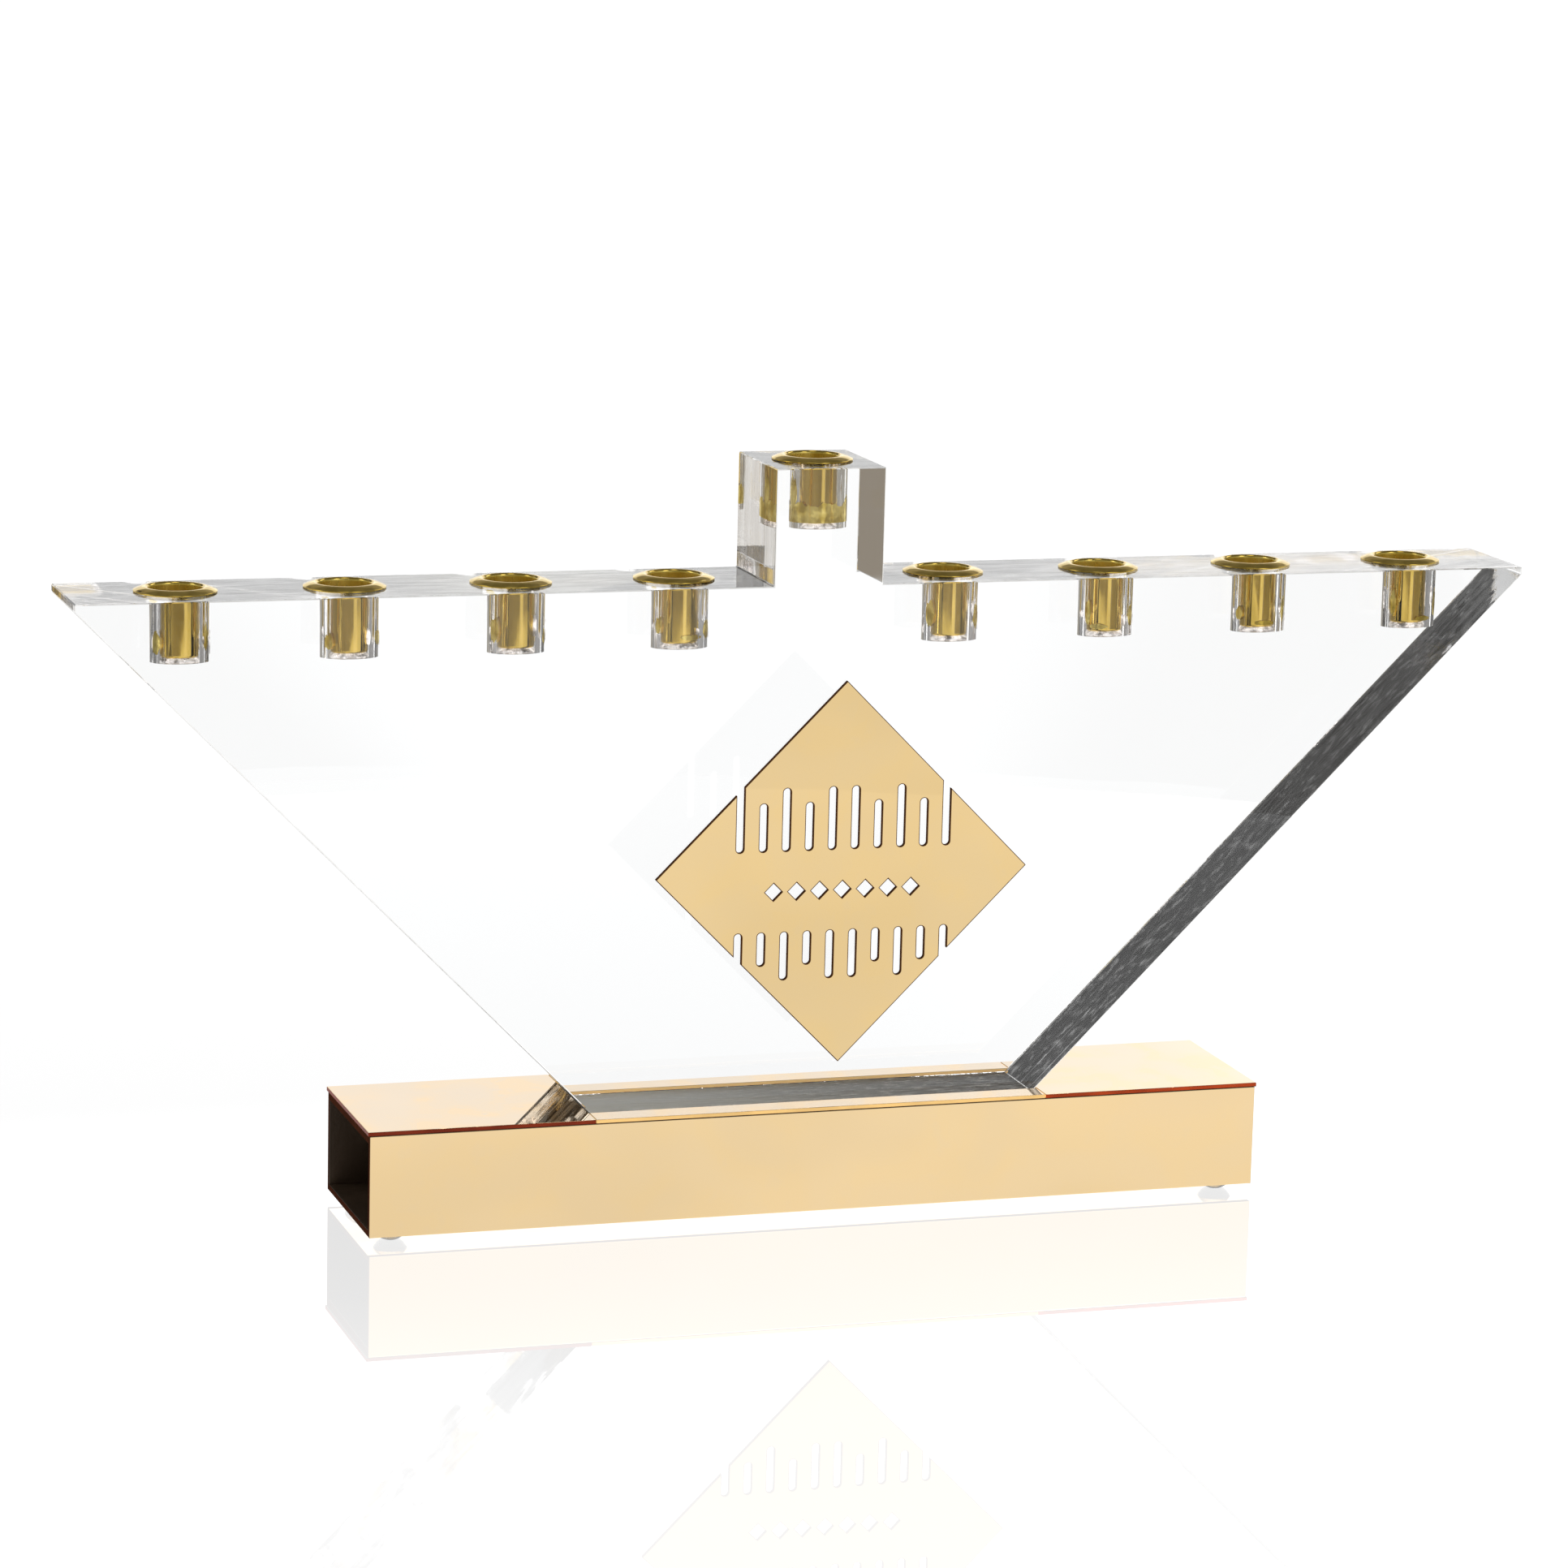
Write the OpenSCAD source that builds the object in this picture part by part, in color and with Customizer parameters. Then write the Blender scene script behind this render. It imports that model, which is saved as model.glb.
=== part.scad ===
// Nine-light menorah: a clear acrylic slab with nine brass candle cups on a gold mirror box base.
// +X is the long direction, -Y the front with the plaque, +Z up.
// The origin is the middle of the footprint, at the height of the feet's soles.

/* [Acrylic body] */
// Length over the two arm tips
body_len = 350; // [346:1:370]
// Thickness of the slab
body_t = 30; // [26:0.5:36]
// Height of the arms' top above the base's top
arm_h = 122.4; // [116:0.2:130]
// Length of the slab's bottom edge where it enters the base
heel_len = 110; // [100:1:120]
// Height of the blunt upright face at each arm tip
tip_h = 1.8; // [1:0.1:4]
// Width of the raised middle block
block_w = 26.4; // [24:0.2:34]
// Height of the raised middle block above the arms
block_h = 27.2; // [22:0.2:34]

/* [Candle cups] */
// Bore of a cup
cup_bore_d = 12.2; // [11.6:0.1:12.4]
// Wall of the pressed brass
cup_wall = 0.4; // [0.3:0.05:0.5]
// Diameter over the cup's turned-out rim
rim_d = 19; // [18:0.1:20]
// Height of the rim's crest above the slab
crest_h = 1.2; // [1.1:0.1:1.6]
// Distance between the two cups nearest the middle block
inner_gap = 65.8; // [62:0.1:67]
// Distance between neighbouring cups on an arm
cup_pitch = 38.9; // [37:0.1:39]
// Diameter at the mouth of the blind holes that hold the cups
hole_d = 13.7; // [13.5:0.1:14]
// Diameter at the bottom of those holes, which narrow a little
hole_foot_d = 13.6; // [13.5:0.1:14]
// Depth of the blind holes
hole_depth = 15; // [12:0.5:15.5]
// Height of a cup's floor above the bottom of its hole
cup_lift = 1.2; // [0.8:0.1:2]

/* [Base box] */
// Length of the base
base_len = 218; // [200:1:240]
// Depth of the base, front to back
base_depth = 43; // [41:0.5:48]
// Height of the base without its feet
base_h = 25; // [22:0.5:30]
// Thickness of the mirror sheets on the top
sheet_t = 1; // [0.8:0.1:1.5]
// Thickness of the front, back and bottom panels
panel_t = 1.5; // [1:0.5:2.5]
// Thickness of the plate under the slab
plate_t = 2; // [1.5:0.5:3]
// How far the top sheets stand out past the panels' ends
sheet_overhang = 0.4; // [0:0.1:1]
// Gap left between the slab and the sheets around it
slot_gap = 0.1; // [0.1:0.1:0.5]
// Thickness of the cement under the slab
cement_t = 0.2; // [0.1:0.1:0.4]

/* [Feet] */
// Diameter of a foot
foot_d = 8; // [6:0.5:10]
// Diameter of a foot's flat sole
sole_d = 3.6; // [2:0.2:5]
// Height of a foot
foot_h = 2.2; // [1.5:0.1:3]
// Distance of a foot's middle from the base's ends and faces
foot_inset = 7; // [5.5:0.5:10]

/* [Plaque] */
// Corner-to-corner width of the square plaque, which stands on one corner
plaque_diag = 90.6; // [84:0.2:92]
// Thickness of the plaque
plaque_t = 1; // [0.8:0.1:1.5]
// Sideways place of the plaque's middle
plaque_x = 4.9; // [0:0.1:6]
// Height of the plaque's middle above the base's top
plaque_z = 54.7; // [50:0.1:58]
// Width of the cut-out slots
slot_w = 1.9; // [1.2:0.1:2.4]
// Distance between neighbouring slots
slot_pitch = 5.6; // [5:0.1:5.8]
// Corner-to-corner width of the small diamond cut-outs
diamond_w = 4.2; // [3:0.1:4.6]

/* [Hidden] */
$fn = 96;

// Heights
panel_top = foot_h + base_h - sheet_t;
base_top = foot_h + base_h;
heel_z = panel_top + cement_t;
arm_top = base_top + arm_h;
block_top = arm_top + block_h;

// The slab's slope, from the heel at the base's top to the arm tips
slope_run = (body_len - heel_len) / 2;
slope_rise = arm_h - tip_h;
heel_half = heel_len / 2 - (base_top - heel_z) * slope_run / slope_rise;

// Holes and cups
cup_r = cup_bore_d / 2;
tube_r = cup_r + cup_wall;
bell_r = 0.35;
bell_z = crest_h - cup_wall - bell_r;
corner_r = 0.6;
lip_r = 0.25;
rim_drop = 0.4;
cup_depth = hole_depth - cup_lift;
arm_cups = [for (side = [-1, 1], i = [0 : 3]) side * (inner_gap / 2 + (side < 0 ? 3 - i : i) * cup_pitch)];
cutter_over = 1;
cutter_top_d = hole_d + (hole_d - hole_foot_d) * cutter_over / hole_depth;
cement_d = 11;

// Base
panel_len = base_len - 2 * sheet_overhang;
inner_depth = base_depth - 2 * panel_t;
cover_len = (base_len - heel_len) / 2 - 2 * slot_gap;
strip_w = (base_depth - body_t) / 2 - slot_gap;
strip_len = heel_len + 2 * slot_gap;
foot_x = base_len / 2 - foot_inset;
foot_y = base_depth / 2 - foot_inset;
dome_z = (foot_d * foot_d / 4 - sole_d * sole_d / 4 + foot_h * foot_h) / (2 * foot_h);
dome_r = sqrt(sole_d * sole_d / 4 + dome_z * dome_z);

// Plaque cut-outs, in the plaque's own plane
upper_foot = 5.6;
upper_tops = [20.5, 17, 20.5, 17, 24];
lower_head = -13.6;
lower_feet = [-25, -21.5, -25, -21.5, -24];
diamond_row = -4;
diamonds_each_side = 3;

// Points of a circular arc in the r-z plane, from angle a0 to angle a1
function arc(r, z, radius, a0, a1, steps = 8) =
    [for (i = [0 : steps]) let (a = a0 + (a1 - a0) * i / steps) [r + radius * cos(a), z + radius * sin(a)]];

// Height of the rim's upper side at radius r: level at the crest, then falling in a parabola
function rim_z(r) =
    crest_h - rim_drop * pow((r - tube_r - bell_r) / (rim_d / 2 - lip_r - tube_r - bell_r), 2);

// A box given by its centre in x and y, its lower z and its size
module slab(x, y, z, size) {
    translate([x - size[0] / 2, y - size[1] / 2, z])
        cube(size);
}

// Side view of the body: heel, slopes, blunt tips, arms and middle block
module body_outline() {
    polygon([
        [-heel_half, heel_z],
        [heel_half, heel_z],
        [body_len / 2, arm_top - tip_h],
        [body_len / 2, arm_top],
        [block_w / 2, arm_top],
        [block_w / 2, block_top],
        [-block_w / 2, block_top],
        [-block_w / 2, arm_top],
        [-body_len / 2, arm_top],
        [-body_len / 2, arm_top - tip_h]
    ]);
}

// A blind hole sunk from height z; its cutter runs on above the mouth at the same slope
module cup_hole(x, z) {
    translate([x, 0, z - hole_depth])
        cylinder(d1 = hole_foot_d, d2 = cutter_top_d, h = hole_depth + cutter_over);
}

module acrylic_body() {
    color("azure", 0.4)
        difference() {
            rotate([90, 0, 0])
                linear_extrude(body_t, center = true)
                    body_outline();
            for (x = arm_cups)
                cup_hole(x, arm_top);
            cup_hole(0, block_top);
        }
}

// Half section of a pressed cup: outside from the floor up, over the rim and down the bore
module cup_section() {
    lip_mid = rim_d / 2 - lip_r;
    lip_z = rim_z(lip_mid) - lip_r;
    slope = [for (i = [1 : 6]) tube_r + bell_r + (lip_mid - tube_r - bell_r) * i / 7];
    polygon(concat(
        [[0, -cup_depth]],
        arc(tube_r - corner_r, -cup_depth + corner_r, corner_r, -90, 0),
        arc(tube_r + bell_r, bell_z, bell_r, 180, 90),
        [for (r = slope) [r, rim_z(r) - cup_wall]],
        arc(lip_mid, lip_z, lip_r, -90, 90),
        [for (i = [5 : -1 : 0]) [slope[i], rim_z(slope[i])]],
        arc(tube_r + bell_r, bell_z, bell_r + cup_wall, 90, 180),
        [[cup_r, -cup_depth + cup_wall], [0, -cup_depth + cup_wall]]
    ));
}

module cup(x, z) {
    color("gold")
        translate([x, 0, z])
            rotate_extrude()
                cup_section();
}

// One upright cut-out with round ends
module slot(u, v_low, v_high) {
    translate([u, (v_low + v_high) / 2])
        square([slot_w, v_high - v_low - slot_w], center = true);
    for (v = [v_low + slot_w / 2, v_high - slot_w / 2])
        translate([u, v])
            circle(d = slot_w);
}

// The plaque's face: a square on its corner with two combs of slots and a row of diamonds
module plaque_face() {
    difference() {
        rotate(45)
            square(plaque_diag / sqrt(2), center = true);
        for (side = [-1, 1], i = [0 : 4]) {
            slot(side * slot_pitch * (i + 0.5), upper_foot, upper_tops[i]);
            slot(side * slot_pitch * (i + 0.5), lower_feet[i], lower_head);
        }
        for (i = [-diamonds_each_side : diamonds_each_side])
            translate([slot_pitch * i, diamond_row])
                rotate(45)
                    square(diamond_w / sqrt(2), center = true);
    }
}

module plaque() {
    color("goldenrod")
        translate([plaque_x, -body_t / 2, base_top + plaque_z])
            rotate([90, 0, 0])
                linear_extrude(plaque_t)
                    plaque_face();
}

module side_panel(side) {
    color("burlywood")
        slab(0, side * (base_depth - panel_t) / 2, foot_h, [panel_len, panel_t, panel_top - foot_h]);
}

module bottom_panel() {
    color("saddlebrown")
        slab(0, 0, foot_h, [panel_len, inner_depth, panel_t]);
}

module inner_plate() {
    color("dimgray")
        slab(0, 0, panel_top - plate_t, [panel_len, inner_depth, plate_t]);
}

module cover(side) {
    color("wheat")
        slab(side * (base_len - cover_len) / 2, 0, panel_top, [cover_len, base_depth, sheet_t]);
}

module strip(side) {
    color("navajowhite")
        slab(0, side * (base_depth - strip_w) / 2, panel_top, [strip_len, strip_w, sheet_t]);
}

// A clear bumper: a dome with a flat sole, its wide side up against the bottom panel
module foot(side_x, side_y) {
    color("lightgray")
        translate([side_x * foot_x, side_y * foot_y, 0])
            intersection() {
                translate([0, 0, dome_z])
                    sphere(r = dome_r);
                cylinder(d = foot_d, h = foot_h);
            }
}

module body_cement() {
    color("darkgray")
        slab(0, 0, panel_top, [2 * heel_half, body_t, cement_t]);
}

// A disc of cement under each cup
module cup_cement() {
    color("gainsboro")
        for (spot = concat([for (x = arm_cups) [x, arm_top]], [[0, block_top]]))
            translate([spot[0], 0, spot[1] - hole_depth])
                cylinder(d = cement_d, h = cup_lift);
}

acrylic_body();
plaque();
cup(arm_cups[0], arm_top);  // cup_1
cup(arm_cups[1], arm_top);  // cup_2
cup(arm_cups[2], arm_top);  // cup_3
cup(arm_cups[3], arm_top);  // cup_4
cup(arm_cups[4], arm_top);  // cup_5
cup(arm_cups[5], arm_top);  // cup_6
cup(arm_cups[6], arm_top);  // cup_7
cup(arm_cups[7], arm_top);  // cup_8
cup(0, block_top);  // shamash_cup
side_panel(-1);  // front_panel
side_panel(1);  // back_panel
bottom_panel();
inner_plate();
cover(-1);  // left_cover
cover(1);  // right_cover
strip(-1);  // front_strip
strip(1);  // back_strip
foot(-1, -1);  // foot_front_left
foot(1, -1);  // foot_front_right
foot(-1, 1);  // foot_back_left
foot(1, 1);  // foot_back_right
body_cement();
cup_cement();
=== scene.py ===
"""Looks of a clear acrylic menorah with brass cups on a gold mirror base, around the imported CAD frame."""

import math
import random

import bmesh
import bpy
from mathutils import Matrix, Vector

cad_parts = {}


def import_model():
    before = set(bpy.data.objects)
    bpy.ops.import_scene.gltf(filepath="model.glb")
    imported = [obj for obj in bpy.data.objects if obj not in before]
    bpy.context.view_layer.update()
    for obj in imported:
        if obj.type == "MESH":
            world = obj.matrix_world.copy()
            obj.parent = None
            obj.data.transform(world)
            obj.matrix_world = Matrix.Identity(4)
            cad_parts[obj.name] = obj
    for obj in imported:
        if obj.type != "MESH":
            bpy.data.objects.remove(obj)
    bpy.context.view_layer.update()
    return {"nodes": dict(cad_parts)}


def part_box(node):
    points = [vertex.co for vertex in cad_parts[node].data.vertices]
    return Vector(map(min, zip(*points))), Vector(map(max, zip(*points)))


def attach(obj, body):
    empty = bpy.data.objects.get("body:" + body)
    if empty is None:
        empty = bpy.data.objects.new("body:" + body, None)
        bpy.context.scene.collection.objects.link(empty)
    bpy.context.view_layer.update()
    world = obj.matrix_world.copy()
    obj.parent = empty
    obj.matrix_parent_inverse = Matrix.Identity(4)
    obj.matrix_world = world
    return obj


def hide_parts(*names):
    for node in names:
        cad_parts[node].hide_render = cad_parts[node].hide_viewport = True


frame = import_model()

ROOT = "root"
MM = 0.001

# Sizes the frame's boxes don't give, in millimetres
CUP_DEPTH = 13.8        # from the surface a cup stands in down to its underside
HOLE_DEPTH = 15
HOLE_RADIUS = 6.8       # at the hole's bottom
CUTTER_RADIUS = 6.855   # at the cutter's top, CUTTER_RISE above the surface
CUTTER_RISE = 1
TIP_HEIGHT = 1.8        # of the arms' blunt ends
BLOCK_HALF = 13.2       # half the raised block's width
SLAB_BEVEL = 0.28
SHEET_BEVEL = 0.16
PLAQUE_RIM = 0.18
FILM_GAP = 0.02         # keeps the cement under the slab off the slab's own bottom face

# Places worked out from the frame, in metres
BODY_LOW, BODY_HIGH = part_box("acrylic_body")
BASE_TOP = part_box("left_cover")[1].z
ARM_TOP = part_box("cup_1")[0].z + CUP_DEPTH * MM
CUP_NODES = ["cup_%d" % i for i in range(1, 9)] + ["shamash_cup"]
FOOT_NODES = ["foot_%s_%s" % (row, side) for row in ("front", "back") for side in ("left", "right")]

ROUND_SEGMENTS = 128


# ---------------------------------------------------------------- node helpers

class Graph:
    """A material's or world's node tree, with short ways to add and link nodes."""

    def __init__(self, owner):
        owner.use_nodes = True
        self.tree = owner.node_tree
        self.tree.nodes.clear()

    def node(self, kind, settings=None, **inputs):
        made = self.tree.nodes.new(kind)
        for name, value in (settings or {}).items():
            setattr(made, name, value)
        for name, value in inputs.items():
            self.put(made, name.replace("_", " "), value)
        return made

    def put(self, node, name, value):
        """Links a socket to the named input, or sets the input to a value. A digit is an input's number."""
        socket = node.inputs[int(name)] if name.isdigit() else node.inputs[name]
        if isinstance(value, bpy.types.NodeSocket):
            self.tree.links.new(value, socket)
        else:
            socket.default_value = value

    def surface(self, shader, kind="ShaderNodeOutputMaterial"):
        output = self.node(kind)
        self.tree.links.new(shader.outputs[0], output.inputs["Surface"])

    def math(self, operation, a, b=0.0, c=0.0):
        made = self.node("ShaderNodeMath", {"operation": operation})
        for i, value in enumerate((a, b, c)):
            self.put(made, str(i), value)
        return made.outputs[0]

    def smooth(self, value, low, high, out_low=0.0, out_high=1.0):
        made = self.node("ShaderNodeMapRange", {"interpolation_type": "SMOOTHSTEP"}, Value=value,
                         From_Min=low, From_Max=high, To_Min=out_low, To_Max=out_high)
        return made.outputs["Result"]

    def mix(self, factor, a, b):
        made = self.node("ShaderNodeMix", {"data_type": "RGBA"})
        for name, value in (("0", factor), ("6", a), ("7", b)):
            self.put(made, name, value)
        return made.outputs[2]

    def noise(self, coords, scale, detail=2.0, roughness=0.5):
        made = self.node("ShaderNodeTexNoise", Vector=coords, Scale=scale, Detail=detail, Roughness=roughness)
        return made.outputs["Fac"]

    def grain(self, scale, stretch=(1, 1, 1), **options):
        """Noise in object coordinates. A stretch below 1 draws it out along that axis."""
        coords = self.node("ShaderNodeTexCoord").outputs["Object"]
        mapping = self.node("ShaderNodeMapping", Vector=coords, Scale=stretch)
        return self.noise(mapping.outputs["Vector"], scale, **options)

    def place(self):
        """Object coordinates, as separate X, Y and Z."""
        coords = self.node("ShaderNodeTexCoord").outputs["Object"]
        return self.node("ShaderNodeSeparateXYZ", Vector=coords).outputs

    def bump(self, height, strength, distance):
        made = self.node("ShaderNodeBump", Strength=strength, Distance=distance, Height=height)
        return made.outputs["Normal"]


def principled(name, base, roughness, normal=None, **sockets):
    """A material with one Principled shader. A constant goes on its own socket, a function adds nodes."""
    material = bpy.data.materials.new(name)
    graph = Graph(material)
    shader = graph.node("ShaderNodeBsdfPrincipled")
    graph.surface(shader)
    sockets.update(Base_Color=base, Roughness=roughness)
    if normal is not None:
        sockets["Normal"] = normal
    for key, value in sockets.items():
        graph.put(shader, key.replace("_", " "), value(graph) if callable(value) else value)
    return material


def grey(level):
    return (level, level, level, 1)


def scaled_colour(colour, factor, lift=0.0):
    return tuple(min(1, c * factor + lift) for c in colour[:3]) + (1,)


# ---------------------------------------------------------------- materials

ACRYLIC_IOR = 1.49


def acrylic(name, base, roughness, normal=None):
    return principled(name, base, roughness, normal, Transmission_Weight=1.0, IOR=ACRYLIC_IOR)


def acrylic_face():
    """Polished cast faces: nearly perfect, with a faint wave."""
    def wave(graph):
        return graph.bump(graph.grain(22, detail=1), 0.02, 0.002)
    return acrylic("acrylic_face", (0.955, 0.96, 0.962, 1), 0.0, wave)


def acrylic_edge():
    """Upright edges, sawn and polished: fine upright tool marks and lanes of stain."""
    def stain(graph):
        lanes = graph.grain(330, (1, 1, 0.06), detail=3, roughness=0.6)
        return graph.mix(graph.smooth(lanes, 0.38, 0.66), (0.8, 0.78, 0.75, 1), (0.97, 0.96, 0.94, 1))

    def rough(graph):
        return graph.smooth(graph.grain(700, (1, 1, 0.05), detail=3), 0.4, 0.75, 0.003, 0.03)

    def marks(graph):
        return graph.bump(graph.grain(380, (1, 1, 0.04), detail=3), 0.13, 0.0006)
    return acrylic("acrylic_edge", stain, rough, marks)


def acrylic_top():
    """Tops of the arms and block: machined, with long soft streaks that blur what is seen through them."""
    def rough(graph):
        return graph.smooth(graph.grain(500, (0.15, 1, 1), detail=3), 0.35, 0.7, 0.05, 0.16)

    def marks(graph):
        return graph.bump(graph.grain(450, (0.06, 1, 1), detail=3), 0.09, 0.0005)
    return acrylic("acrylic_top", (0.97, 0.96, 0.95, 1), rough, marks)


def acrylic_slope():
    """The slanted edges: sawn, flame polished, with specks and streaks along the cut."""
    def rough(graph):
        return graph.smooth(graph.grain(350, detail=4), 0.4, 0.75, 0.05, 0.2)

    def marks(graph):
        return graph.bump(graph.grain(170, (0.08, 1, 0.08), detail=2), 0.28, 0.0006)
    return acrylic("acrylic_slope", (0.96, 0.96, 0.96, 1), rough, marks)


def acrylic_bore():
    """Walls of the drilled holes: a slight, uneven haze."""
    def rough(graph):
        return graph.smooth(graph.grain(500), 0.3, 0.8, 0.02, 0.15)
    return acrylic("acrylic_bore", (0.95, 0.94, 0.93, 1), rough)


def cement_bed():
    """The slab's bottom seen from inside: cement smears on a bed painted pale to the left and dark to the
    right, as painted light and shade.
    """
    def colour(graph):
        # Pale at the left, dark at the right: painted light and shade along the bed.
        along = graph.smooth(graph.place()["X"], -0.055, 0.055)
        ground = graph.mix(along, (0.95, 0.95, 0.84, 1), (0.035, 0.035, 0.03, 1))
        smear = graph.smooth(graph.grain(190, (1, 2.5, 1), detail=6, roughness=0.75), 0.5, 0.68)
        return graph.mix(smear, ground, (0.95, 0.95, 0.88, 1))

    def uneven(graph):
        return graph.bump(graph.grain(200, (1, 2, 1), detail=4), 0.5, 0.0008)
    return principled("cement_bed", colour, 0.3, uneven, IOR=1.2, Specular_IOR_Level=0.2)


def gold_mirror(name, tint):
    """Second-surface gold mirror: a metal film under clear acrylic, cloudy and never perfectly flat."""
    def colour(graph):
        cloud = graph.grain(14, (1, 1, 1.6), detail=2)
        return graph.mix(graph.smooth(cloud, 0.35, 0.65), scaled_colour(tint, 0.92), tint)

    def rough(graph):
        return graph.smooth(graph.grain(260, detail=4), 0.5, 0.8, 0.015, 0.05)

    def bend(graph):
        return graph.bump(graph.grain(30, detail=1), 0.02, 0.002)
    return principled(name, colour, rough, bend, Metallic=1.0, Coat_Weight=1.0, Coat_IOR=ACRYLIC_IOR,
                      Coat_Roughness=0.0)


def sheet_edge(name, left, right=None, specular=0.1, glow=0.0):
    """A mirror sheet's cut edge: the film's colour at the left and right of the base, burnt in spots. A glow
    above 0 is painted light: the edge shines in its left colour though no lamp is there.
    """
    def tint(graph):
        along = graph.mix(graph.smooth(graph.place()["X"], -0.1, 0.08), left, right or left)
        burn = graph.smooth(graph.grain(90, detail=5), 0.35, 0.6, 0.3, 0.0)
        return graph.mix(burn, along, (0.03, 0.01, 0.006, 1))
    return principled(name, tint, 0.35, Specular_IOR_Level=specular, Emission_Color=left,
                      Emission_Strength=glow)


def backing(name, colour):
    """The painted back of a mirror sheet: dull, mottled lacquer."""
    def tint(graph):
        cloud = graph.smooth(graph.grain(60, detail=5), 0.4, 0.75)
        return graph.mix(cloud, colour, scaled_colour(colour, 1.6, 0.01))

    def fine(graph):
        return graph.bump(graph.grain(900, detail=2), 0.3, 0.0002)
    return principled(name, tint, 0.38, fine)


def brass():
    """Pressed cups, gold plated and glossy, with faint drawing lines down the sleeve."""
    def colour(graph):
        cloud = graph.smooth(graph.grain(300, (1, 1, 0.2), detail=3), 0.35, 0.7)
        return graph.mix(cloud, (0.62, 0.43, 0.075, 1), (0.84, 0.6, 0.14, 1))

    def rough(graph):
        return graph.smooth(graph.grain(500, (1, 1, 0.15), detail=3), 0.35, 0.75, 0.035, 0.11)

    def lines(graph):
        return graph.bump(graph.grain(700, (1, 1, 0.08), detail=2), 0.06, 0.0004)
    return principled("brass", colour, rough, lines, Metallic=1.0)


def brass_inside():
    """The cup's inside, duller than its outside: waxed and wiped. Its brass is painted lighter than the
    outside's, as painted light down in the cup.
    """
    def colour(graph):
        cloud = graph.smooth(graph.grain(260, (1, 1, 0.4), detail=4), 0.35, 0.7)
        return graph.mix(cloud, (0.72, 0.53, 0.08, 1), (1.0, 0.8, 0.2, 1))

    def rough(graph):
        return graph.smooth(graph.grain(420, (1, 1, 0.3), detail=4), 0.35, 0.75, 0.2, 0.36)
    return principled("brass_inside", colour, rough, Metallic=0.6)


def wet_brass():
    """Brass seen through cement that fills the gap around a cup: partly the brass's own colour, and partly
    painted light, as its lighter end is lighter than the cups' brass.
    """
    def colour(graph):
        cloud = graph.smooth(graph.grain(260, detail=4), 0.38, 0.6)
        return graph.mix(cloud, (0.62, 0.44, 0.06, 1), (1.0, 0.8, 0.24, 1))

    def lumps(graph):
        return graph.bump(graph.grain(330, detail=2), 0.3, 0.0005)
    return principled("wet_brass", colour, 0.14, lumps, Metallic=0.7)


def clear_cement():
    """Set solvent cement with tiny bubbles: half clear, half silvery. Its glow stands for light inside it."""
    def colour(graph):
        froth = graph.smooth(graph.grain(700, detail=4), 0.4, 0.65)
        return graph.mix(froth, (0.78, 0.74, 0.72, 1), (1.0, 0.97, 0.96, 1))

    def lumps(graph):
        return graph.bump(graph.grain(700, detail=3), 0.9, 0.0012)

    def glow(graph):
        return graph.smooth(graph.grain(520, detail=4), 0.42, 0.6, 0.0, 0.5)
    return principled("clear_cement", colour, 0.12, lumps, Transmission_Weight=0.5, IOR=1.46,
                      Emission_Color=(1, 0.97, 0.95, 1), Emission_Strength=glow)


def bumper():
    """Clear soft polyurethane, a little hazy."""
    def haze(graph):
        return graph.smooth(graph.grain(400, detail=3), 0.3, 0.8, 0.1, 0.3)
    return principled("bumper", (0.9, 0.9, 0.88, 1), haze, Transmission_Weight=0.85, IOR=1.48)


MATERIALS = {
    "face": acrylic_face(),
    "edge": acrylic_edge(),
    "top": acrylic_top(),
    "slope": acrylic_slope(),
    "bore": acrylic_bore(),
    "bed": cement_bed(),
    # The tops' and the panels' gold are one mirror sheet in two tints: the tops lighter, as painted light,
    # and the panels darker, as painted shade.
    "gold_shaded_panel": gold_mirror("gold_shaded_panel", (0.81, 0.6, 0.325, 1)),
    "gold_lit_top": gold_mirror("gold_lit_top", (0.88, 0.64, 0.36, 1)),
    "gold_plaque": gold_mirror("gold_plaque", (0.74, 0.54, 0.26, 1)),
    "red_edge": sheet_edge("red_edge", (0.3, 0.036, 0.01, 1), (0.7, 0.085, 0.016, 1)),
    "brown_edge": sheet_edge("brown_edge", (0.075, 0.024, 0.012, 1), (0.055, 0.022, 0.012, 1), specular=0.0),
    "plaque_edge": sheet_edge("plaque_edge", (0.15, 0.065, 0.026, 1), specular=0.0),
    # The gold cut edges beside the slab glow: painted light on edges that the slab leaves in shade.
    "glowing_gold_edge": sheet_edge("glowing_gold_edge", (0.8, 0.5, 0.17, 1), specular=0.5, glow=0.55),
    # The backing inside the box is near black brown, darker than the grey backing under the slab: painted
    # shade of the box's unlit inside.
    "brown_back": backing("brown_back", (0.06, 0.038, 0.022, 1)),
    "grey_back": backing("grey_back", (0.12, 0.12, 0.1, 1)),
    "brass": brass(),
    "brass_inside": brass_inside(),
    "wet_brass": wet_brass(),
    "cement": clear_cement(),
    "bumper": bumper(),
}


# ---------------------------------------------------------------- mesh helpers

def scene_object(name, bm, materials):
    """An object in the scene from a bmesh and its materials."""
    mesh = bpy.data.meshes.new(name)
    bm.to_mesh(mesh)
    bm.free()
    for material in materials:
        mesh.materials.append(material)
    made = bpy.data.objects.new(name, mesh)
    bpy.context.scene.collection.objects.link(made)
    return made


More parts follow.
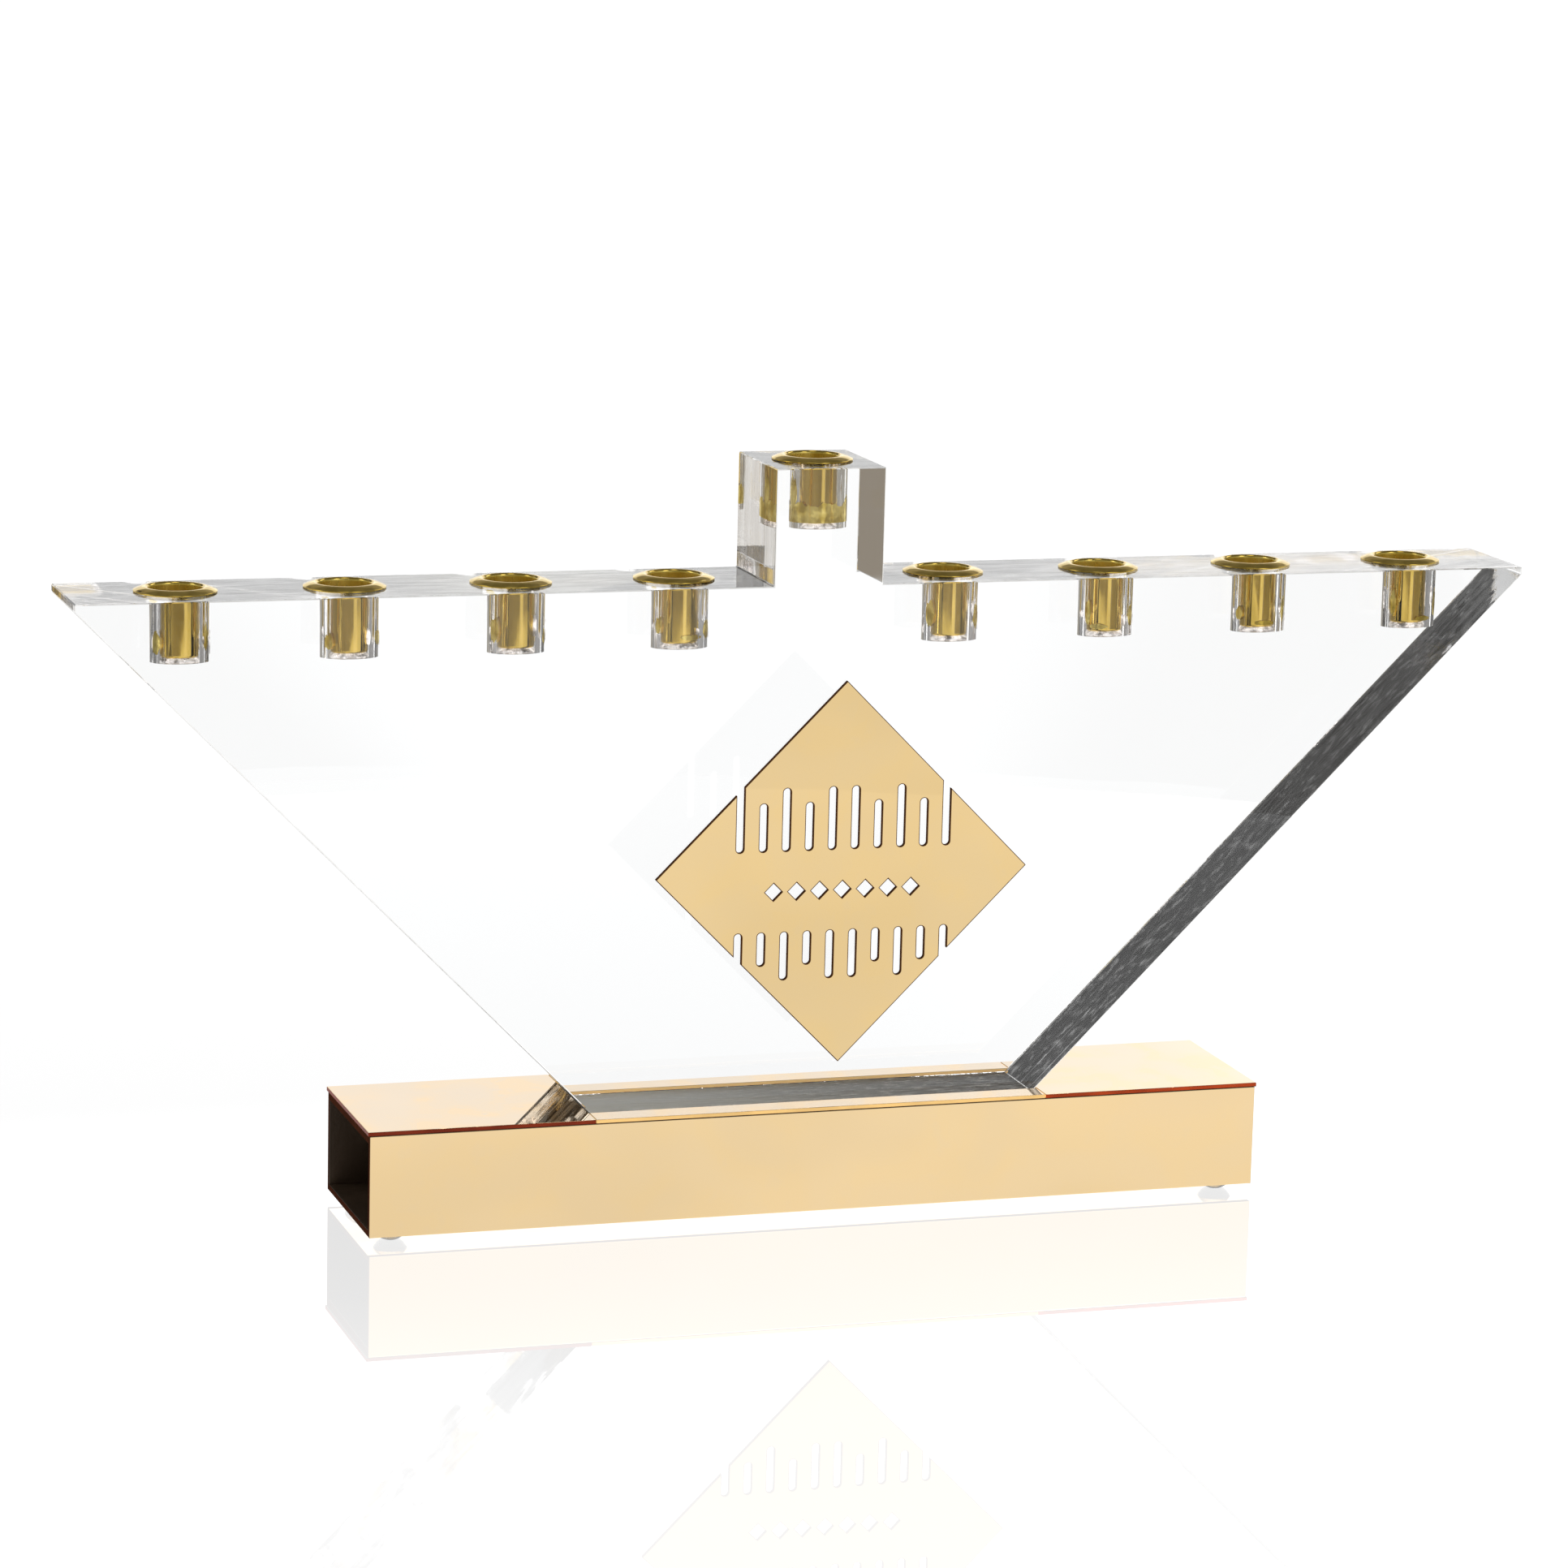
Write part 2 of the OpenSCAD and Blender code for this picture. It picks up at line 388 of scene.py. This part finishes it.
def piece(name, bm, keys, replaced=(), smooth_angle=None):
    """A finished piece from a bmesh, riding on the one body. Without smooth_angle it is shaded flat."""
    made = scene_object(name, bm, [MATERIALS[key] for key in keys])
    if smooth_angle is None:
        made.data.shade_flat()
    else:
        made.data.shade_smooth()
        made.data.set_sharp_from_angle(angle=math.radians(smooth_angle))
    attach(made, ROOT)
    if replaced:
        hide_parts(*replaced)
    return made


def box_mesh(low, high):
    bm = bmesh.new()
    bmesh.ops.create_cube(bm, size=1)
    size = high - low
    middle = (high + low) / 2
    for v in bm.verts:
        v.co = Vector((v.co.x * size.x, v.co.y * size.y, v.co.z * size.z)) + middle
    return bm


def bevel_all(bm, width):
    bmesh.ops.bevel(bm, geom=bm.edges[:], offset=width, segments=2, affect="EDGES", profile=0.5)


def cut_sheet(node, slot, mirror, back, edge, facing, special=None):
    """A mirror sheet: mirror on the side it faces, backing behind, cut edges all round.

    The bevels next to the backing are brown. special is (material, direction): the edge that looks that
    way has that material instead."""
    bm = box_mesh(*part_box(node))
    bevel_all(bm, SHEET_BEVEL * MM)
    special_edge, special_way = special or (edge, (0, 0, 0))
    for f in bm.faces:
        along = f.normal.dot(Vector(facing))
        if along > 0.9:
            f.material_index = 0
        elif along < -0.9:
            f.material_index = 1
        elif along < -0.2:
            f.material_index = 4
        elif f.normal.dot(Vector(special_way)) > 0.5:
            f.material_index = 3
        else:
            f.material_index = 2
    return piece(node + "_sheet", bm, (mirror, back, edge, special_edge, "brown_edge"), (node,))


# ---------------------------------------------------------------- acrylic body

BODY_MATERIALS = ("face", "edge", "top", "slope", "bore", "bed")
FACE, EDGE, TOP, SLOPE, BORE, BED = range(6)


def outline_points():
    """The slab's side view: heel, slopes, blunt tips, arms and middle block."""
    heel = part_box("body_cement")[1].x
    tip = BODY_HIGH.x
    block = BLOCK_HALF * MM
    right = [(heel, BODY_LOW.z), (tip, ARM_TOP - TIP_HEIGHT * MM), (tip, ARM_TOP), (block, ARM_TOP),
             (block, BODY_HIGH.z)]
    return right + [(-x, z) for x, z in reversed(right)]


def body_part(normal):
    """Which of the body's materials a face has, by the way it looks."""
    if normal.z < -0.99:
        return BED
    if abs(normal.y) > 0.99:
        return FACE
    if normal.z > 0.99:
        return TOP
    if 0.6 < abs(normal.x) < 0.8 and abs(normal.y) < 0.1:
        return SLOPE
    return EDGE


def slab_mesh():
    bm = bmesh.new()
    points = outline_points()
    front = [bm.verts.new((x, BODY_LOW.y, z)) for x, z in points]
    back = [bm.verts.new((x, BODY_HIGH.y, z)) for x, z in points]
    bm.faces.new(front)
    bm.faces.new(list(reversed(back)))
    for i in range(len(points)):
        j = (i + 1) % len(points)
        bm.faces.new((front[j], front[i], back[i], back[j]))
    bmesh.ops.recalc_face_normals(bm, faces=bm.faces)
    bevel_all(bm, SLAB_BEVEL * MM)
    for f in bm.faces:
        f.material_index = body_part(f.normal)
    return bm


def acrylic_body():
    """The slab with its nine blind holes. Only the holes' walls are shaded smooth."""
    body = piece("clear_body", slab_mesh(), BODY_MATERIALS, ("acrylic_body",))
    cutter = holes_cutter()
    cut = body.modifiers.new("holes", "BOOLEAN")
    cut.operation = "DIFFERENCE"
    cut.solver = "EXACT"
    cut.object = cutter
    depsgraph = bpy.context.evaluated_depsgraph_get()
    result = bpy.data.meshes.new_from_object(body.evaluated_get(depsgraph))
    body.modifiers.clear()
    body.data = result
    bpy.data.objects.remove(cutter)
    result.set_sharp_from_angle(angle=math.radians(30))
    for polygon in result.polygons:
        polygon.use_smooth = polygon.material_index == BORE


def cup_spots():
    """(x, z of the surface it stands in) for each cup, from the frame."""
    spots = []
    for node in CUP_NODES:
        low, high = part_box(node)
        spots.append(((low.x + high.x) / 2, low.z + CUP_DEPTH * MM))
    return spots


def holes_cutter():
    bm = bmesh.new()
    for x, z in cup_spots():
        bottom = z - HOLE_DEPTH * MM
        top = z + CUTTER_RISE * MM
        made = bmesh.ops.create_cone(bm, cap_ends=True, segments=ROUND_SEGMENTS, radius1=HOLE_RADIUS * MM,
                                     radius2=CUTTER_RADIUS * MM, depth=top - bottom)
        bmesh.ops.translate(bm, verts=made["verts"], vec=(x, 0, (top + bottom) / 2))
    for f in bm.faces:
        f.material_index = BORE
    made = scene_object("holes_cutter", bm, [MATERIALS[key] for key in BODY_MATERIALS])
    made.data.shade_smooth()
    return made


# ---------------------------------------------------------------- cups

def arc(r, z, radius, a0, a1, steps):
    """Points of a half section on an arc about (r, z), between two angles in degrees."""
    angles = [math.radians(a0 + (a1 - a0) * i / steps) for i in range(steps + 1)]
    return [(r + radius * math.cos(a), z + radius * math.sin(a)) for a in angles]


def cup_profile():
    """Half section of a pressed cup in millimetres, from its underside's middle to its floor's middle."""
    tube, wall, crest = 6.5, 0.4, 1.2
    bell, rim, lip = 0.35, 9.5, 0.2
    foot_corner, floor_corner = 0.6, 0.5
    fall = 0.75
    bell_z = crest - wall - bell
    bell_r = tube + bell
    lip_r = rim - lip

    def rim_z(r):
        return crest - fall * ((r - bell_r) / (lip_r - bell_r)) ** 1.6
    slope = [bell_r + (lip_r - bell_r) * i / 12 for i in range(1, 12)]
    underside = [(0, -CUP_DEPTH)] + arc(tube - foot_corner, -CUP_DEPTH + foot_corner, foot_corner, -90, 0, 8)
    under_rim = arc(bell_r, bell_z, bell, 180, 90, 10) + [(r, rim_z(r) - wall) for r in slope]
    rolled_edge = arc(lip_r, rim_z(lip_r) - lip, lip, -90, 90, 14)
    over_rim = [(r, rim_z(r)) for r in reversed(slope)] + arc(bell_r, bell_z, bell + wall, 90, 180, 14)
    floor_edge = arc(tube - wall - floor_corner, -CUP_DEPTH + wall + floor_corner, floor_corner, 0, -90, 8)
    return underside + under_rim + rolled_edge + over_rim + floor_edge + [(0, -CUP_DEPTH + wall)]


def lathe(bm, profile, centre):
    """Turns a half section about the z axis through centre. Points at radius 0 become one vertex."""
    rings = []
    for r, z in profile:
        if r < 1e-9:
            rings.append([bm.verts.new(centre + Vector((0, 0, z * MM)))])
            continue
        ring = []
        for i in range(ROUND_SEGMENTS):
            a = 2 * math.pi * i / ROUND_SEGMENTS
            ring.append(bm.verts.new(centre + Vector((r * math.cos(a), r * math.sin(a), z)) * MM))
        rings.append(ring)
    for lower, upper in zip(rings[:-1], rings[1:]):
        for i in range(ROUND_SEGMENTS):
            j = (i + 1) % ROUND_SEGMENTS
            a = [lower[i % len(lower)], lower[j % len(lower)], upper[j % len(upper)], upper[i % len(upper)]]
            corners = list(dict.fromkeys(a))
            if len(corners) > 2:
                bm.faces.new(corners)
    bmesh.ops.recalc_face_normals(bm, faces=bm.faces)


def inside_cup(face, centre):
    """Whether a cup's face is on its bore or its floor."""
    middle = face.calc_center_median() - centre
    in_tube = math.hypot(middle.x, middle.y) < 6.2 * MM
    return in_tube and face.normal.z > -0.5 and middle.z > -13.5 * MM


def cups():
    for node, (x, z) in zip(CUP_NODES, cup_spots()):
        centre = Vector((x, 0, z))
        bm = bmesh.new()
        lathe(bm, cup_profile(), centre)
        for f in bm.faces:
            f.material_index = int(inside_cup(f, centre))
        piece(node + "_pressed", bm, ("brass", "brass_inside"), (node,), smooth_angle=60)


# ---------------------------------------------------------------- cement on the cups

# Radii of the smears in millimetres, from a little inside a cup's sleeve to a little inside the slab. The
# clear ones start outside the sleeve.
SMEAR_INNER = 6.46
SMEAR_OUTER = 6.9
CLEAR_INNER = 6.6

# The shamash's smears: angle, half angle, bottom, top and seed
SHAMASH_SMEARS = (
    (0, 180, -13.6, -9.3, 5),
    (196, 13, -10.5, -3.2, 6),
    (335, 9, -10.5, -7.6, 7),
)


def smear(bm, centre, angle, half_angle, low, high, seed, inner=SMEAR_INNER):
    """Cement that bridges the gap between a cup and its hole: a curved pad with a wandering outline.

    Angles are in degrees and lengths in millimetres. A half angle of 180 makes a closed ring."""
    rng = random.Random(seed)
    columns = max(6, int(half_angle * 2 / 4))
    phases = [rng.uniform(0, 6.28) for _ in range(4)]
    ring = half_angle >= 180
    middle = (low + high) / 2

    def wander(t, k):
        slow, quick = phases[k], phases[k + 1]
        return 0.5 * math.sin(3 * t + slow) + 0.3 * math.sin(7 * t + quick) + 0.2 * math.sin(13 * t)
    sections = []
    for i in range(columns if ring else columns + 1):
        t = i / columns
        a = math.radians(angle - half_angle + 2 * half_angle * t)
        fade = 1.0 if ring else math.sin(math.pi * min(max(t, 0.02), 0.98)) ** 0.5
        top = middle + (high - middle) * fade + 0.2 * (high - low) * wander(a * 2 if ring else t * 9, 0)
        bottom = middle - (middle - low) * fade
        if not ring:
            bottom += 0.1 * (high - low) * wander(t * 5, 2)
        top = max(top, bottom + 0.15)
        corners = ((inner, bottom), (SMEAR_OUTER, bottom), (SMEAR_OUTER, top), (inner, top))
        sections.append([bm.verts.new(centre + Vector((r * math.cos(a), r * math.sin(a), z)) * MM)
                         for r, z in corners])
    pairs = list(zip(sections, sections[1:]))
    if ring:
        pairs.append((sections[-1], sections[0]))
    else:
        bm.faces.new(sections[0])
        bm.faces.new(list(reversed(sections[-1])))
    for a, b in pairs:
        for k in range(4):
            m = (k + 1) % 4
            bm.faces.new((a[k], b[k], b[m], a[m]))


def random_smear(bm, centre, rng, angle, half_angles, lows, heights, inner=SMEAR_INNER):
    """A smear whose half angle, bottom and height are drawn from the given ranges."""
    low = rng.uniform(*lows)
    half_angle = rng.uniform(*half_angles)
    high = low + rng.uniform(*heights)
    smear(bm, centre, angle, half_angle, low, high, rng.random(), inner)


def arm_cup_smears(bm, centre, rng):
    """Two brassy smears at a cup's sides, sometimes a wide low one, and three narrow clear ones."""
    for side in (rng.uniform(205, 222), rng.uniform(318, 338)):
        random_smear(bm, centre, rng, side, (5, 12), (-13.2, -11.5), (3, 6.5))
    if rng.random() < 0.6:
        low = rng.uniform(-13.4, -12.8)
        smear(bm, centre, rng.uniform(240, 300), rng.uniform(14, 26), low, low + 1.2, rng.random())
    brassy = len(bm.faces)
    for side in (rng.uniform(190, 204), rng.uniform(300, 316), rng.uniform(340, 352)):
        random_smear(bm, centre, rng, side, (1.5, 4), (-13.3, -9.5), (1.5, 5), CLEAR_INNER)
    bm.faces.ensure_lookup_table()
    for f in bm.faces[brassy:]:
        f.material_index = 1


def drop_profile():
    """Half section of the cement between a hole's bottom and its cup, in millimetres."""
    return ([(0, -HOLE_DEPTH), (6.0, -HOLE_DEPTH)] + arc(6.4, -14.62, 0.36, -90, 40, 6)
            + [(6.1, -14.0), (5.4, -CUP_DEPTH), (0, -CUP_DEPTH)])


def cup_cement():
    """The smears on each cup's sleeve, one piece a cup, and the drops under all the cups, one piece."""
    rng = random.Random(41)
    for node, (x, z) in zip(CUP_NODES, cup_spots()):
        centre = Vector((x, 0, z))
        bm = bmesh.new()
        if node == "shamash_cup":
            for values in SHAMASH_SMEARS:
                smear(bm, centre, *values)
        else:
            arm_cup_smears(bm, centre, rng)
        bmesh.ops.recalc_face_normals(bm, faces=bm.faces)
        piece(node + "_glue", bm, ("wet_brass", "cement"), smooth_angle=50)
    bm = bmesh.new()
    for x, z in cup_spots():
        lathe(bm, drop_profile(), Vector((x, 0, z)))
    piece("cup_cement_drops", bm, ("cement",), ("cup_cement",), smooth_angle=50)


# ---------------------------------------------------------------- base and plaque

def base():
    top = ("gold_lit_top", "grey_back", "red_edge", (0, 0, 1))
    cut_sheet("left_cover", "gold_mirror_top", *top, ("brown_edge", (1, 0, 0)))
    cut_sheet("right_cover", "gold_mirror_top", *top, ("glowing_gold_edge", (-1, 0, 0)))
    strip = ("gold_lit_top", "grey_back", "glowing_gold_edge", (0, 0, 1))
    cut_sheet("front_strip", "gold_mirror_top", *strip)
    cut_sheet("back_strip", "gold_mirror_top", *strip)
    side = ("gold_shaded_panel", "brown_back", "brown_edge")
    cut_sheet("front_panel", "gold_mirror_panel", *side, (0, -1, 0))
    cut_sheet("back_panel", "gold_mirror_panel", *side, (0, 1, 0))
    cut_sheet("bottom_panel", "brown_backing", *side, (0, 0, -1))
    cut_sheet("inner_plate", "grey_plate", "grey_back", "brown_back", "brown_edge", (0, 0, 1))


def cement_film():
    """The cement under the slab, a hair lower than in the CAD so that it shares no plane with the slab."""
    low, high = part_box("body_cement")
    bm = box_mesh(low, high - Vector((0, 0, FILM_GAP * MM)))
    piece("body_cement_film", bm, ("bed",), ("body_cement",))


def plaque():
    """The plaque from the frame's own outline, with a fine dark rim where its cut edges show."""
    bm = bmesh.new()
    bm.from_mesh(frame["nodes"]["plaque"].data)
    bmesh.ops.remove_doubles(bm, verts=bm.verts, dist=1e-6)
    bmesh.ops.dissolve_limit(bm, angle_limit=math.radians(1), verts=bm.verts, edges=bm.edges)
    front = [f for f in bm.faces if f.normal.y < -0.9]
    inset = bmesh.ops.inset_region(bm, faces=front, thickness=PLAQUE_RIM * MM, use_boundary=True,
                                   use_even_offset=True)
    rim = set(inset["faces"])
    for f in bm.faces:
        if f in rim or abs(f.normal.y) <= 0.9:
            f.material_index = 2
        else:
            f.material_index = 0 if f.normal.y < 0 else 1
    piece("plaque_sheet", bm, ("gold_plaque", "grey_back", "plaque_edge"), ("plaque",))


def feet():
    """The feet keep their CAD shape and only get their material."""
    for node in FOOT_NODES:
        mesh = frame["nodes"][node].data
        mesh.materials.clear()
        mesh.materials.append(MATERIALS["bumper"])


# ---------------------------------------------------------------- stage, light and camera

TABLE_RADIUS = 0.52
SURROUND_RADIUS = 12
SURROUND_HEIGHT = -0.0005

# The room's floor, which only glows, so its shades are painted light and shade: beside the table, left of the
# lane behind it, far off, in that lane, and in front
FLOOR_SIDES = (0.33, 0.31, 0.27, 1)
FLOOR_SHADED_TAUPE = (0.25, 0.21, 0.16, 1)
FLOOR_PALE = (0.9, 0.9, 0.89, 1)
FLOOR_WHITE = grey(1.05)
FLOOR_FRONT = grey(1.08)

# The world by direction: (azimuth, half width, elevation, half height, softness) in degrees, and the
# brightness there. None is the cloudy dusk that the slanted right edge shows. Later ones cover earlier ones.
WORLD_COLOUR = (0.32, 0.31, 0.3, 1)
WORLD_REGIONS = [
    ((0, 181, 62, 27, 10), 0.17),
    ((18, 32, 4, 16, 5), 1.04),
    ((-24, 10, 6, 8, 4), 1.2),
    ((-13, 10, 23.5, 7, 3), None),
    ((31, 10, 12, 8, 8), 1.22),
    ((165, 25, 12, 11, 8), 0.72),
    ((150, 13, 50, 10, 6), 3.2),
    ((-75, 11, 38, 12, 6), 2.2),
    ((62, 8, 34, 10, 6), 2.2),
    ((0, 181, 90, 7, 5), 2.6),
    ((17, 10, 9.4, 1.3, 1.2), 1.6),
]

# The photograph's camera: azimuth, downward tilt and roll in degrees, place in metres with its height
# over the base's top, and lens on a 36 mm sensor
CAMERA_ANGLES = (17.771, 11.303, 1.434)
CAMERA_X, CAMERA_Y, CAMERA_RISE = -0.38357, -1.18147, 0.3209
CAMERA_LENS = 123.9


def sector(graph, azimuth, az, half_az, soft):
    """1 within half_az degrees of the direction az, 0 outside it. Azimuth 0 is behind the object."""
    off = graph.math("WRAP", graph.math("SUBTRACT", azimuth, math.radians(az)), -math.pi, math.pi)
    return graph.smooth(graph.math("ABSOLUTE", off), math.radians(half_az + soft / 2),
                        math.radians(half_az - soft / 2))


def stage_disc(name, radius, height, material):
    bm = bmesh.new()
    bmesh.ops.create_circle(bm, cap_ends=True, segments=ROUND_SEGMENTS, radius=radius)
    bmesh.ops.translate(bm, verts=bm.verts, vec=(0, 0, height))
    scene_object(name, bm, [material])


def table_material():
    """White acrylic lit from below, so that nothing on it throws a shadow, and glossy enough to mirror."""
    def glow(graph):
        y = graph.place()["Y"]
        front = graph.smooth(y, -0.03, -0.17, 1.0, 1.09)
        return graph.math("SUBTRACT", front, graph.smooth(y, 0.02, 0.12, 0.0, 0.3))
    return principled("table", grey(0.02), 0.01, IOR=1.5, Coat_Weight=1.0, Coat_IOR=1.5,
                      Coat_Roughness=0.01, Emission_Color=grey(1), Emission_Strength=glow)


def surround_material():
    """The room's floor: pale far off, dimmer near the table, white in lanes behind it and in front of it. It
    only glows, so these are painted light and shade.
    """
    material = bpy.data.materials.new("surround")
    graph = Graph(material)
    place = graph.place()
    x, y = place["X"], place["Y"]
    azimuth = graph.math("ARCTAN2", x, y)
    squares = graph.math("ADD", graph.math("MULTIPLY", x, x), graph.math("MULTIPLY", y, y))
    distance = graph.math("SQRT", squares)
    colour = graph.mix(sector(graph, azimuth, -24, 16, 8), FLOOR_SIDES, FLOOR_SHADED_TAUPE)
    colour = graph.mix(graph.smooth(distance, 1.25, 2.1), colour, FLOOR_PALE)
    colour = graph.mix(sector(graph, azimuth, 19, 27, 6), colour, FLOOR_WHITE)
    near = graph.math("MULTIPLY", graph.smooth(distance, 0.95, 0.88), sector(graph, azimuth, 17, 46, 4))
    colour = graph.mix(near, colour, FLOOR_WHITE)
    front = graph.math("MULTIPLY", graph.smooth(distance, 2.2, 1.7), sector(graph, azimuth, 166, 11, 6))
    colour = graph.mix(front, colour, FLOOR_FRONT)
    graph.surface(graph.node("ShaderNodeEmission", Color=colour))
    return material


def floor():
    stage_disc("table", TABLE_RADIUS, 0, table_material())
    stage_disc("surround", SURROUND_RADIUS, SURROUND_HEIGHT, surround_material())


def world():
    """A soft room, with darker and brighter regions by direction, as flags and softboxes give."""
    made = bpy.data.worlds.new("studio")
    bpy.context.scene.world = made
    graph = Graph(made)
    direction = graph.node("ShaderNodeTexCoord").outputs["Generated"]
    parts = graph.node("ShaderNodeSeparateXYZ", Vector=direction).outputs
    azimuth = graph.math("ARCTAN2", parts["X"], parts["Y"])
    elevation = graph.math("ARCSINE", parts["Z"])

    def region(az, half_az, el, half_el, soft):
        """1 inside a window of directions, in degrees, 0 outside it."""
        up = graph.math("ABSOLUTE", graph.math("SUBTRACT", elevation, math.radians(el)))
        tall = graph.smooth(up, math.radians(half_el + soft / 2), math.radians(half_el - soft / 2))
        return graph.math("MULTIPLY", sector(graph, azimuth, az, half_az, soft), tall)
    cloud = graph.smooth(graph.noise(direction, 38, detail=4), 0.35, 0.68)
    night = graph.smooth(elevation, math.radians(19), math.radians(24), 0.35, 1.0)
    dusk = graph.mix(graph.math("MULTIPLY", cloud, night), grey(0.02), grey(0.14))
    colour = WORLD_COLOUR
    for window, level in WORLD_REGIONS:
        colour = graph.mix(region(*window), colour, dusk if level is None else grey(level))
    graph.surface(graph.node("ShaderNodeBackground", Color=colour), "ShaderNodeOutputWorld")


def camera():
    az, el, roll = (math.radians(a) for a in CAMERA_ANGLES)
    forward = Vector((math.sin(az) * math.cos(el), math.cos(az) * math.cos(el), -math.sin(el)))
    right = Vector((math.cos(az), -math.sin(az), 0))
    up = right.cross(forward)
    across = right * math.cos(roll) + up * math.sin(roll)
    upward = up * math.cos(roll) - right * math.sin(roll)
    data = bpy.data.cameras.new("camera")
    data.sensor_width = 36
    data.lens = CAMERA_LENS
    data.clip_end = 100
    made = bpy.data.objects.new("camera", data)
    turn = Matrix((across, upward, -forward)).transposed().to_4x4()
    made.matrix_world = Matrix.Translation((CAMERA_X, CAMERA_Y, BASE_TOP + CAMERA_RISE)) @ turn
    bpy.context.scene.collection.objects.link(made)
    bpy.context.scene.camera = made


def light_paths():
    """Plain colours, and bounces enough for light to pass through the slab, its holes and the cement."""
    scene = bpy.context.scene
    scene.view_settings.view_transform = "Standard"
    scene.cycles.max_bounces = 24
    scene.cycles.transmission_bounces = 24
    scene.cycles.glossy_bounces = 12


# ---------------------------------------------------------------- build

camera()
light_paths()
floor()
world()
acrylic_body()
cups()
cup_cement()
base()
cement_film()
plaque()
feet()
